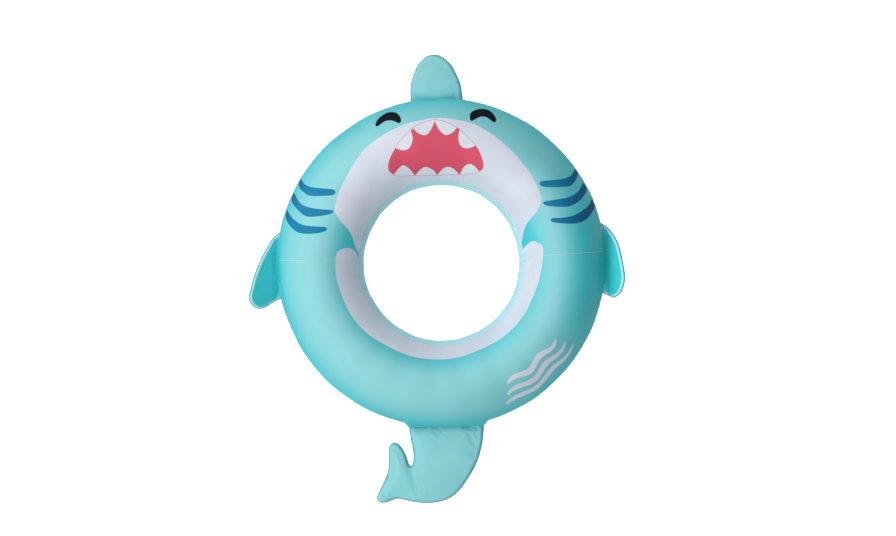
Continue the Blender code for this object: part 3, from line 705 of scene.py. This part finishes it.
def graded(first, last, count, ends=0.65):
    """Values from first to last, closer together at both ends."""
    share = np.linspace(0.0, 1.0, count + 1)
    share = share - ends / math.tau * np.sin(math.tau * share)
    return first + (last - first) * share


def is_anticlockwise(outline):
    ends = zip(outline, outline[1:] + outline[:1])
    return sum(a[0] * b[1] - b[0] * a[1] for a, b in ends) > 0


def anticlockwise(outline):
    return outline if is_anticlockwise(outline) else outline[::-1]


def print_panel(name, first, last, areas):
    """A front panel whose printed areas are cut into its mesh as crisp outlines."""
    thetas = np.linspace(math.degrees(first), math.degrees(last), FRONT_GRID[0])
    phis = graded(0.0, math.degrees(INNER_SEAM), FRONT_GRID[1])
    scale_a, scale_b = math.radians(CENTRE_RADIUS / MM), math.radians(TUBE_RADIUS / MM)
    grid = [(t * scale_a, p * scale_b) for t in thetas for p in phis]
    rows, columns = len(thetas), len(phis)
    rim = [i * columns for i in range(rows)]
    rim += [(rows - 1) * columns + j for j in range(1, columns)]
    rim += [i * columns + columns - 1 for i in range(rows - 2, -1, -1)]
    rim += [j for j in range(columns - 2, 0, -1)]
    if not is_anticlockwise([grid[i] for i in rim]):
        rim = rim[::-1]
    points, polygons, looks = list(grid), [rim], [TEAL_FABRIC]
    for outline, look in areas:
        start, end = min(t for t, _ in outline), max(t for t, _ in outline)
        for turn in (-360, 0, 360):
            if end + turn <= thetas[0] or start + turn >= thetas[-1]:
                continue
            moved = anticlockwise([((t + turn) * scale_a, p * scale_b) for t, p in outline])
            polygons.append(list(range(len(points), len(points) + len(moved))))
            points += moved
            looks.append(look)
    verts, _, faces, _, _, sources = delaunay_2d_cdt(
        [Vector(p) for p in points], [], polygons, 0, 1e-4
    )
    kept = [(face, max(source)) for face, source in zip(faces, sources) if 0 in source]
    flat = np.array([tuple(v) for v in verts])
    theta = np.radians(flat[:, 0] / scale_a)
    phi = np.radians(np.clip(flat[:, 1] / scale_b, 0.0, math.degrees(INNER_SEAM)))
    palette = list(dict.fromkeys(looks))
    picked = [palette.index(looks[top]) for _, top in kept]
    obj = mesh_object(
        name, ring_points(theta, phi), [face for face, _ in kept], palette, picked, flat * MM
    )
    finish_cover(obj, theta, phi)
    return obj


def finish_cover(obj, theta, phi):
    """Turns the faces outwards and shades them by the surface's own normals."""
    normals = ring_normals(theta, phi)
    mesh = obj.data
    face = mesh.polygons[len(mesh.polygons) // 2]
    if face.normal.dot(Vector(normals[face.vertices[0]])) < 0:
        mesh.flip_normals()
    mesh.normals_split_custom_set_from_vertices([tuple(n) for n in normals])


def back_panel(name, first, last, hole):
    """A back panel: the tube from the inner seam, under the ring, to the outer seam."""
    thetas = np.linspace(first, last, BACK_GRID[0])
    phis = graded(INNER_SEAM, 2 * np.pi, BACK_GRID[1])
    theta, phi = [a.ravel() for a in np.meshgrid(thetas, phis, indexing="ij")]
    points = ring_points(theta, phi)
    columns = len(phis)
    open_here = np.zeros(len(points), bool)
    if hole:
        offset = points - np.array(VALVE_PLACE)
        away = np.linalg.norm(offset, axis=1)
        open_here = away < VALVE_HOLE
        stretch = VALVE_HOLE / np.maximum(away[open_here], 0.01 * MM)
        points[open_here] = np.array(VALVE_PLACE) + offset[open_here] * stretch[:, None]
    faces = []
    for i in range(len(thetas) - 1):
        for j in range(columns - 1):
            face = (i * columns + j, (i + 1) * columns + j,
                    (i + 1) * columns + j + 1, i * columns + j + 1)
            if not open_here[list(face)].all():
                faces.append(face)
    uv = np.stack([theta * CENTRE_RADIUS, phi * TUBE_RADIUS], axis=1)
    obj = mesh_object(name, points, faces, [BACK_FABRIC], None, uv)
    finish_cover(obj, theta, phi)
    return obj


def make_cover():
    areas = artwork()
    spans = {"upper": (RIGHT_SEAM, LEFT_SEAM), "lower": (LEFT_SEAM, RIGHT_SEAM + 2 * np.pi)}
    for label, (first, last) in spans.items():
        front = print_panel(f"front_{label}_cover", first, last, areas)
        back = back_panel(f"back_{label}_cover", first, last, label == "upper")
        for piece, node, slot in (
            (front, f"front_{label}_panel", "cover_fabric"),
            (back, f"back_{label}_panel", "back_fabric"),
        ):
            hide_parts(node)
            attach(piece, "ring")
    for seam, label in ((LEFT_SEAM, "left"), (RIGHT_SEAM, "right")):
        phi = np.linspace(SEAM_THREAD_START, INNER_SEAM, 90)
        line = ring_points(np.full(len(phi), seam), phi, SEAM_THREAD_LIFT)
        thread = tube_mesh(f"{label}_seam_thread", line, SEAM_THREAD_RADIUS, 6, PALE_THREAD)
        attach(thread, "ring")


# ---------------------------------------------------------------- fins

# Outlines are in millimetres: along the ring's edge, and out from the ring's outer circle.
# Each starts and ends at a root corner, hidden just inside the ring.
DORSAL_OUTLINE = [
    (-46, -9), (-47, 7), (-45.5, 29), (-38, 51), (-30, 66), (-15, 79), (-3.5, 81),
    (9.5, 79), (28, 64), (36, 49), (45, 27), (48, 4), (49, -9),
]
TAIL_OUTLINE = [
    (-69.5, -6), (-68, 7), (-66, 22), (-63.5, 37), (-62, 52), (-64, 66), (-67.5, 71.5),
    (-72, 68), (-77, 52), (-84, 37), (-93, 28), (-103, 28.5), (-108, 38), (-109, 66),
    (-111, 80), (-117, 95), (-132, 124), (-131, 133), (-121, 137), (-109, 134),
    (-95, 130), (-81, 133), (-65, 137), (-39, 140), (-12, 137), (7, 129), (21.5, 116.5),
    (35.5, 98), (48, 78.5), (58, 57), (65, 31.5), (68, 10), (69, -6),
]
LEFT_OUTLINE = [
    (67, -9), (54.5, 6.7), (34, 20.8), (11.6, 33.3), (-12.2, 44.1), (-34.5, 51.5),
    (-52.1, 55.8), (-62, 54), (-70, 47.7), (-74, 39.4), (-73.2, 27.6), (-66.4, 15.6),
    (-60.3, 3.8), (-55.8, -8),
]
RIGHT_OUTLINE = [
    (65, -8), (55, 7), (42, 24), (23, 39), (-3, 49), (-34, 56), (-50, 53), (-66, 41),
    (-74, 20), (-71, 6), (-64, -8),
]
CLOTH_SPACING = 2.6 * MM
SIDE_TILT_LEFT = math.radians(22)
SIDE_TILT_RIGHT = math.radians(60)
BEND_LENGTH = 11 * MM
EDGE_ROUND = 6.5 * MM
FRAMES = 20
PRESSURE = 3.0
PIPING_RADIUS = 0.7 * MM
LARGE_FIN_HALF = 8.5 * MM
SIDE_FIN_HALF = 6 * MM
BACK_SHARE = 0.8


def even_line(points, spacing):
    """A closed line's points, moved so that they are evenly spaced."""
    points = np.array([*points, points[0]])
    run = np.concatenate([[0.0], np.cumsum(np.linalg.norm(np.diff(points, axis=0), axis=1))])
    count = max(8, round(run[-1] / spacing))
    wanted = np.arange(count) * run[-1] / count
    return np.stack([np.interp(wanted, run, points[:, k]) for k in (0, 1)], axis=1)


def inside_outline(points, outline):
    x, y = points[:, 0], points[:, 1]
    found = np.zeros(len(points), bool)
    for (ax, ay), (bx, by) in zip(outline, np.roll(outline, -1, axis=0)):
        spans = (ay > y) != (by > y)
        cut = (bx - ax) * (y - ay) / np.where(by == ay, 1e-12, by - ay) + ax
        found ^= spans & (x < cut)
    return found


def distance_to(points, outline):
    """Each point's distance to the nearest stretch of a closed outline."""
    nearest = np.full(len(points), 1e9)
    for a, b in zip(outline, np.roll(outline, -1, axis=0)):
        edge = b - a
        share = np.clip(((points - a) @ edge) / max(edge @ edge, 1e-12), 0.0, 1.0)
        nearest = np.minimum(nearest, np.linalg.norm(points - a - share[:, None] * edge, axis=1))
    return nearest


def cut_cloth(outline_mm):
    """A flat piece of cloth: its points, its triangles and how many points are on its edge."""
    smooth = np.array(stroke(outline_mm, 8) + [outline_mm[-1]]) * MM
    edge = even_line(smooth, CLOTH_SPACING)
    low, high = edge.min(axis=0), edge.max(axis=0)
    row = CLOTH_SPACING * math.sqrt(3) / 2
    grid = []
    for i, y in enumerate(np.arange(low[1], high[1], row)):
        start = low[0] + (i % 2) * CLOTH_SPACING / 2
        grid += [(x, y) for x in np.arange(start, high[0], CLOTH_SPACING)]
    grid = np.array(grid)
    grid = grid[inside_outline(grid, edge)]
    grid = grid[distance_to(grid, edge) > 0.6 * CLOTH_SPACING]
    points = [Vector(p) for p in np.concatenate([edge, grid]) / MM]
    verts, _, faces, _, _, _ = delaunay_2d_cdt(points, [], [list(range(len(edge)))], 1, 1e-4)
    flat = np.array([tuple(v) for v in verts]) * MM
    return flat, faces, edge


def stuffed(flat, edge, half):
    """Half thickness of a stuffed fin, before the cloth settles: thin at its root."""
    depth = distance_to(flat, edge)
    share = np.clip(depth / EDGE_ROUND, 0.0, 1.0)
    rounding = np.sqrt(np.maximum(0.0, 1 - (1 - share) ** 2))
    crown = 0.78 + 0.22 * smooth_step(0.0, 28 * MM, depth)
    pinch = 0.25 + 0.75 * smooth_step(-3 * MM, 13 * MM, flat[:, 1])
    return half * rounding * crown * pinch


def settle(obj, pinned):
    """Lets the cloth settle over its stuffing, with its seam held, and keeps the result."""
    group = obj.vertex_groups.new(name="seam")
    group.add([int(i) for i in pinned], 1.0, "REPLACE")
    cloth = obj.modifiers.new("Cloth", "CLOTH")
    settings = cloth.settings
    settings.quality = 6
    settings.mass = 0.2
    settings.tension_stiffness = 12
    settings.compression_stiffness = 12
    settings.shear_stiffness = 6
    settings.bending_stiffness = 0.15
    settings.use_pressure = True
    settings.uniform_pressure_force = PRESSURE
    settings.shrink_min = -0.012
    settings.vertex_group_mass = "seam"
    settings.effector_weights.gravity = 0.0
    cloth.collision_settings.use_collision = False
    cloth.point_cache.frame_start = 1
    cloth.point_cache.frame_end = FRAMES
    scene = bpy.context.scene
    for number in range(1, FRAMES + 1):
        scene.frame_set(number)
    graph = bpy.context.evaluated_depsgraph_get()
    result = obj.evaluated_get(graph).to_mesh()
    points = np.zeros(len(result.vertices) * 3, np.float32)
    result.vertices.foreach_get("co", points)
    obj.modifiers.clear()
    obj.vertex_groups.clear()
    scene.frame_set(1)
    return points.reshape(-1, 3).astype(float)


def tilted(local, tilt):
    """A flat fin bent up about its fold: X along the root, Y out and Z up."""
    start = -2 * MM
    x, y, z = local.T
    share = np.clip((y - start) / BEND_LENGTH, 0.0, 1.0)
    angle = tilt * share
    bent = np.where(y > start, np.minimum(y - start, BEND_LENGTH), 0.0)
    if tilt > 1e-6:
        radius = BEND_LENGTH / tilt
        middle_y = np.where(y > start, start + radius * np.sin(bent / radius), y)
        middle_z = radius * (1 - np.cos(bent / radius))
    else:
        middle_y, middle_z = np.where(y > start, start + bent, y), 0.0 * y
    rest = np.maximum(y - start - BEND_LENGTH, 0.0)
    out = middle_y + rest * np.cos(angle) - z * np.sin(angle)
    up = middle_z + rest * np.sin(angle) + z * np.cos(angle)
    return np.stack([x, out, up], axis=1)


def in_place(local, along, out):
    """From a fin's own axes to the frame: its fold lies level with the tube's middle."""
    base = np.array((AXIS_X, AXIS_Y, TUBE_HEIGHT)) + RING_RADIUS * np.array(out)
    x, y, z = local.T[:, :, None]
    return base + x * np.array(along) + y * np.array(out) + z * np.array((0.0, 0.0, 1.0))


def make_fin(name, outline, half, tilt, along, out, look=FIN_FABRIC):
    """A stuffed fin with its piping. Half is its half thickness."""
    flat, faces, edge = cut_cloth(outline)
    count = len(flat)
    rim = distance_to(flat, edge) < 1e-6
    height = np.where(rim, 0.0, stuffed(flat, edge, half))
    back = np.arange(count)
    back[~rim] = count + np.arange(int((~rim).sum()))
    top = np.column_stack([flat, height])
    bottom = np.column_stack([flat, -BACK_SHARE * height])[~rim]
    points = np.concatenate([top, bottom])
    all_faces = [tuple(f) for f in faces] + [tuple(back[i] for i in reversed(f)) for f in faces]
    uv = np.concatenate([flat, flat[~rim]])
    depth = distance_to(uv, edge)
    pad = mesh_object(name + "_pad", points, all_faces, [look], None, uv)
    add_uv(pad.data, "Edge", np.column_stack([depth, depth]))
    settled = settle(pad, np.flatnonzero(rim))
    limit = 1.08 * half
    settled[:, 2] = limit * np.tanh(settled[:, 2] / limit)
    points = settled
    placed = in_place(tilted(points, tilt), along, out)
    pad.data.vertices.foreach_set("co", placed.astype(np.float32).ravel())
    pad.data.update()
    face = pad.data.polygons[len(faces) // 2]
    up = Vector((0, 0, math.cos(tilt))) - Vector(out) * math.sin(tilt)
    if face.normal.dot(up) < 0:
        pad.data.flip_normals()
    seam = in_place(tilted(np.column_stack([edge, np.zeros(len(edge))]), tilt), along, out)
    piping = tube_mesh(name + "_piping", seam, PIPING_RADIUS, 8, THREAD, closed=True)
    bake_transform(pad)
    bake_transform(piping)
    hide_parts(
        name + "_front_cover", name + "_back_cover", name + "_stuffing",
        name + "_root_tape",
    )


def make_fins():
    make_fin("dorsal_fin", DORSAL_OUTLINE, LARGE_FIN_HALF, 0.0, (1, 0, 0), (0, 1, 0))
    # The side fins' fabrics paint shade on the left fin, light on the right one, and a highlight
    # inside each seam.
    make_fin("left_fin", LEFT_OUTLINE, SIDE_FIN_HALF, SIDE_TILT_LEFT, (0, 1, 0), (-1, 0, 0),
             LEFT_FIN_SHADED_FABRIC)
    make_fin("right_fin", RIGHT_OUTLINE, SIDE_FIN_HALF, SIDE_TILT_RIGHT, (0, 1, 0), (1, 0, 0),
             RIGHT_FIN_LIT_FABRIC)
    make_fin("tail", TAIL_OUTLINE, LARGE_FIN_HALF, 0.0, (1, 0, 0), (0, -1, 0))


# ---------------------------------------------------------------- zip and valve

ZIP_START, ZIP_END = math.radians(217.5), math.radians(262.5)
COIL_PITCH = 1.5 * MM
COIL_WIRE = 0.33 * MM
COIL_WIDTH = 2.2 * MM
COIL_HEIGHT = 2.0 * MM
COIL_LIFT = 1.4 * MM
ZIP_GAP = 0.3 * MM
ZIP_STITCH_PITCH = 3.2 * MM
ZIP_STITCH_ROWS = (-8.6 * MM, -5.6 * MM, 5.6 * MM, 8.6 * MM)
ZIP_STITCH_LIFT = 1.2 * MM
VALVE_STITCHES = 28
VALVE_STITCH_CIRCLE = 10.9 * MM
FILM_GRID = (240, 72)


def rounded_copy(name, node, width, look, segments=2):
    """A CAD piece with its edges rounded, standing for the plain one."""
    mesh = frame["nodes"][node].data.copy()
    mesh.materials.clear()
    mesh.materials.append(look)
    obj = link(bpy.data.objects.new(name, mesh))
    weld = obj.modifiers.new("Weld", "WELD")
    weld.merge_threshold = 1e-5
    bevel = obj.modifiers.new("Round", "BEVEL")
    bevel.width = width
    bevel.segments = segments
    bevel.limit_method = "ANGLE"
    bevel.angle_limit = math.radians(35)
    bevel.use_clamp_overlap = True
    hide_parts(node)
    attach(obj, frame["nodes"][node]["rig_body"])
    return obj


def zip_points(theta, across, lift):
    """Points over the zip's flat, by ring angle, distance across it and height over it."""
    base = TUBE_RADIUS * math.cos(ZIP_HALF) + lift
    out = CENTRE_RADIUS + base * math.cos(ZIP_MIDDLE) - across * math.sin(ZIP_MIDDLE)
    height = TUBE_HEIGHT + base * math.sin(ZIP_MIDDLE) + across * math.cos(ZIP_MIDDLE)
    x = AXIS_X + out * np.cos(theta)
    y = AXIS_Y + out * np.sin(theta)
    return np.stack([x, y, height + 0.0 * theta], axis=-1)


def make_coils():
    radius = CENTRE_RADIUS + TUBE_RADIUS * math.cos(ZIP_MIDDLE)
    turns = int((ZIP_END - ZIP_START) * radius / COIL_PITCH)
    for side, label in ((1, "upper"), (-1, "lower")):
        steps = np.arange(turns * 10 + 1) / 10
        phase = math.tau * (steps + (0.5 if side < 0 else 0.0))
        theta = ZIP_START + (ZIP_END - ZIP_START) * (0.004 + 0.992 * steps / turns)
        wide, tall = COIL_WIDTH / 2 - COIL_WIRE, COIL_HEIGHT / 2 - COIL_WIRE
        across = side * (ZIP_GAP / 2 + COIL_WIDTH / 2 - wide * np.cos(phase))
        lift = COIL_LIFT + COIL_HEIGHT / 2 + tall * np.sin(phase)
        coil = tube_mesh(
            f"zip_coil_{label}_teeth", zip_points(theta, across, lift), COIL_WIRE, 6,
            COIL_PLASTIC,
        )
        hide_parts(f"zip_coil_{label}")
        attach(coil, "ring")


def make_stitches(name, places, body, look, radius=0.28 * MM):
    """A row of short stitches, each a small rounded cord, joined as one piece."""
    points, faces = [], []
    sides = 6
    for start, end in places:
        run = Vector(end) - Vector(start)
        tangent = run.normalized()
        side = tangent.orthogonal().normalized()
        up = tangent.cross(side)
        first = len(points)
        for share, width in ((0.0, 0.35), (0.15, 0.95), (0.5, 1.1), (0.85, 0.95), (1.0, 0.35)):
            for k in range(sides):
                turn = math.tau * k / sides
                around = side * math.cos(turn) + up * math.sin(turn)
                points.append(Vector(start) + run * share + around * radius * width)
        for ring in range(4):
            for k in range(sides):
                m = (k + 1) % sides
                a, b = first + ring * sides, first + (ring + 1) * sides
                faces.append((a + k, a + m, b + m, b + k))
        faces.append(tuple(first + k for k in reversed(range(sides))))
        faces.append(tuple(first + 4 * sides + k for k in range(sides)))
    obj = mesh_object(name, points, faces, [look])
    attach(obj, body)
    return obj


def zip_stitches():
    """Two rows of stitches hold each tape to the cover."""
    radius = CENTRE_RADIUS + TUBE_RADIUS * math.cos(ZIP_MIDDLE)
    pitch = ZIP_STITCH_PITCH / radius
    count = int((ZIP_END - ZIP_START) / pitch) - 1
    places = []
    for across in ZIP_STITCH_ROWS:
        for i in range(count):
            theta = np.array([ZIP_START + pitch * (i + 0.6), ZIP_START + pitch * (i + 1.25)])
            ends = zip_points(theta, across, ZIP_STITCH_LIFT)
            places.append((ends[0], ends[1]))
    stitches = make_stitches("zip_tape_stitches", places, "ring", COIL_PLASTIC)


def make_valve():
    for node in ("valve_port_ring", "valve_stem", "valve_plug", "valve_flange"):
        rounded_copy(node + "_moulded", node, 0.35 * MM, WHITE_PLASTIC, 3)
    middle = VALVE_PLACE + VALVE_AXIS * (PORT_THICKNESS + SEAM_GAP)
    side = VALVE_AXIS.cross(Vector((0, 0, 1))).normalized()
    up = VALVE_AXIS.cross(side)
    places = []
    for i in range(VALVE_STITCHES):
        turns = [math.tau * (i + share) / VALVE_STITCHES for share in (0.15, 0.8)]
        places.append([
            middle + (side * math.cos(t) + up * math.sin(t)) * VALVE_STITCH_CIRCLE for t in turns
        ])
    stitches = make_stitches("valve_ring_stitches", places, "ring", THREAD, radius=0.22 * MM)


def make_zip():
    make_coils()
    zip_stitches()
    for node in ("zip_tape_upper", "zip_tape_lower"):
        rounded_copy(node + "_woven", node, 0.2 * MM, TAPE, 2)
    for node in ("zip_stop_start", "zip_stop_end", "zip_slider", "zip_pull_tab"):
        rounded_copy(node + "_plated", node, 0.3 * MM, METAL, 3)


def make_bladder():
    """The air chamber lies just under the cover and is open where the valve goes through."""
    turns, sides = FILM_GRID
    theta, phi = [
        a.ravel() for a in np.meshgrid(
            np.arange(turns) * math.tau / turns, np.arange(sides) * math.tau / sides,
            indexing="ij",
        )
    ]
    faces = []
    for i in range(turns):
        for j in range(sides):
            k, m = (i + 1) % turns, (j + 1) % sides
            faces.append((i * sides + j, k * sides + j, k * sides + m, i * sides + m))
    points = ring_points(theta, phi, -BLADDER_DEPTH)
    middles = points[np.array(faces)].mean(axis=1)
    clear = np.linalg.norm(middles - np.array(VALVE_PLACE), axis=1) > VALVE_FLAT
    faces = [face for face, kept in zip(faces, clear) if kept]
    bladder = mesh_object("bladder_film", points, faces, [FILM])
    finish_cover(bladder, theta, phi)
    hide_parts("bladder")
    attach(bladder, frame["nodes"]["bladder"]["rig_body"])


# ---------------------------------------------------------------- studio

def area_light(name, place, aim, size, power):
    data = bpy.data.lights.new(name, "AREA")
    data.shape = "RECTANGLE"
    data.size, data.size_y = size
    data.energy = power
    lamp = link(bpy.data.objects.new(name, data))
    lamp.location = place
    lamp.rotation_euler = (Vector(aim) - Vector(place)).to_track_quat("-Z", "Y").to_euler()


def make_studio():
    reach = 6.0
    corners = [(-reach, -reach), (reach, -reach), (reach, reach), (-reach, reach)]
    floor = mesh_object("floor", [(x, y, -0.5 * MM) for x, y in corners], [(0, 1, 2, 3)],
                        [floor_paint()], smooth=False)
    floor.visible_glossy = False
    middle = (AXIS_X, AXIS_Y, TUBE_HEIGHT)
    area_light("softbox", (-1.87, 0.40, 3.82), middle, (7.0, 7.0), 250)
    area_light("side_above", (-1.3, 2.7, 2.1), middle, (4.0, 3.6), 38)
    area_light("side_below", (-1.2, -2.7, 2.1), middle, (4.0, 3.6), 46)
    world = bpy.data.worlds.new("studio")
    world.use_nodes = True
    background = world.node_tree.nodes["Background"]
    background.inputs["Color"].default_value = (0.95, 0.98, 1.0, 1.0)
    background.inputs["Strength"].default_value = 0.06
    bpy.context.scene.world = world
    bpy.context.scene.view_settings.view_transform = "Standard"


def floor_paint():
    made, nodes, links = blank_material("floor_paint")
    shader = nodes["Principled BSDF"]
    place = add_node(nodes, "ShaderNodeTexCoord")
    links.new(mottled(nodes, links, WHITE, 0.01, 2.0, place.outputs["Object"]),
              shader.inputs["Base Color"])
    shader.inputs["Roughness"].default_value = 0.9
    shader.inputs["Emission Color"].default_value = (1, 1, 1, 1)
    shader.inputs["Emission Strength"].default_value = 0.9
    return made


def make_camera():
    data = bpy.data.cameras.new("camera")
    data.lens = CAMERA_LENS
    data.sensor_width = 36.0
    camera = link(bpy.data.objects.new("camera", data))
    camera.location = (
        AXIS_X + CAMERA_OFFSET[0], AXIS_Y + CAMERA_OFFSET[1], TUBE_HEIGHT + CAMERA_HEIGHT
    )
    camera.rotation_euler = (0.0, 0.0, CAMERA_TURN)
    data.clip_end = 50.0
    bpy.context.scene.camera = camera


make_camera()
make_studio()
make_cover()
make_fins()
make_zip()
make_valve()
make_bladder()
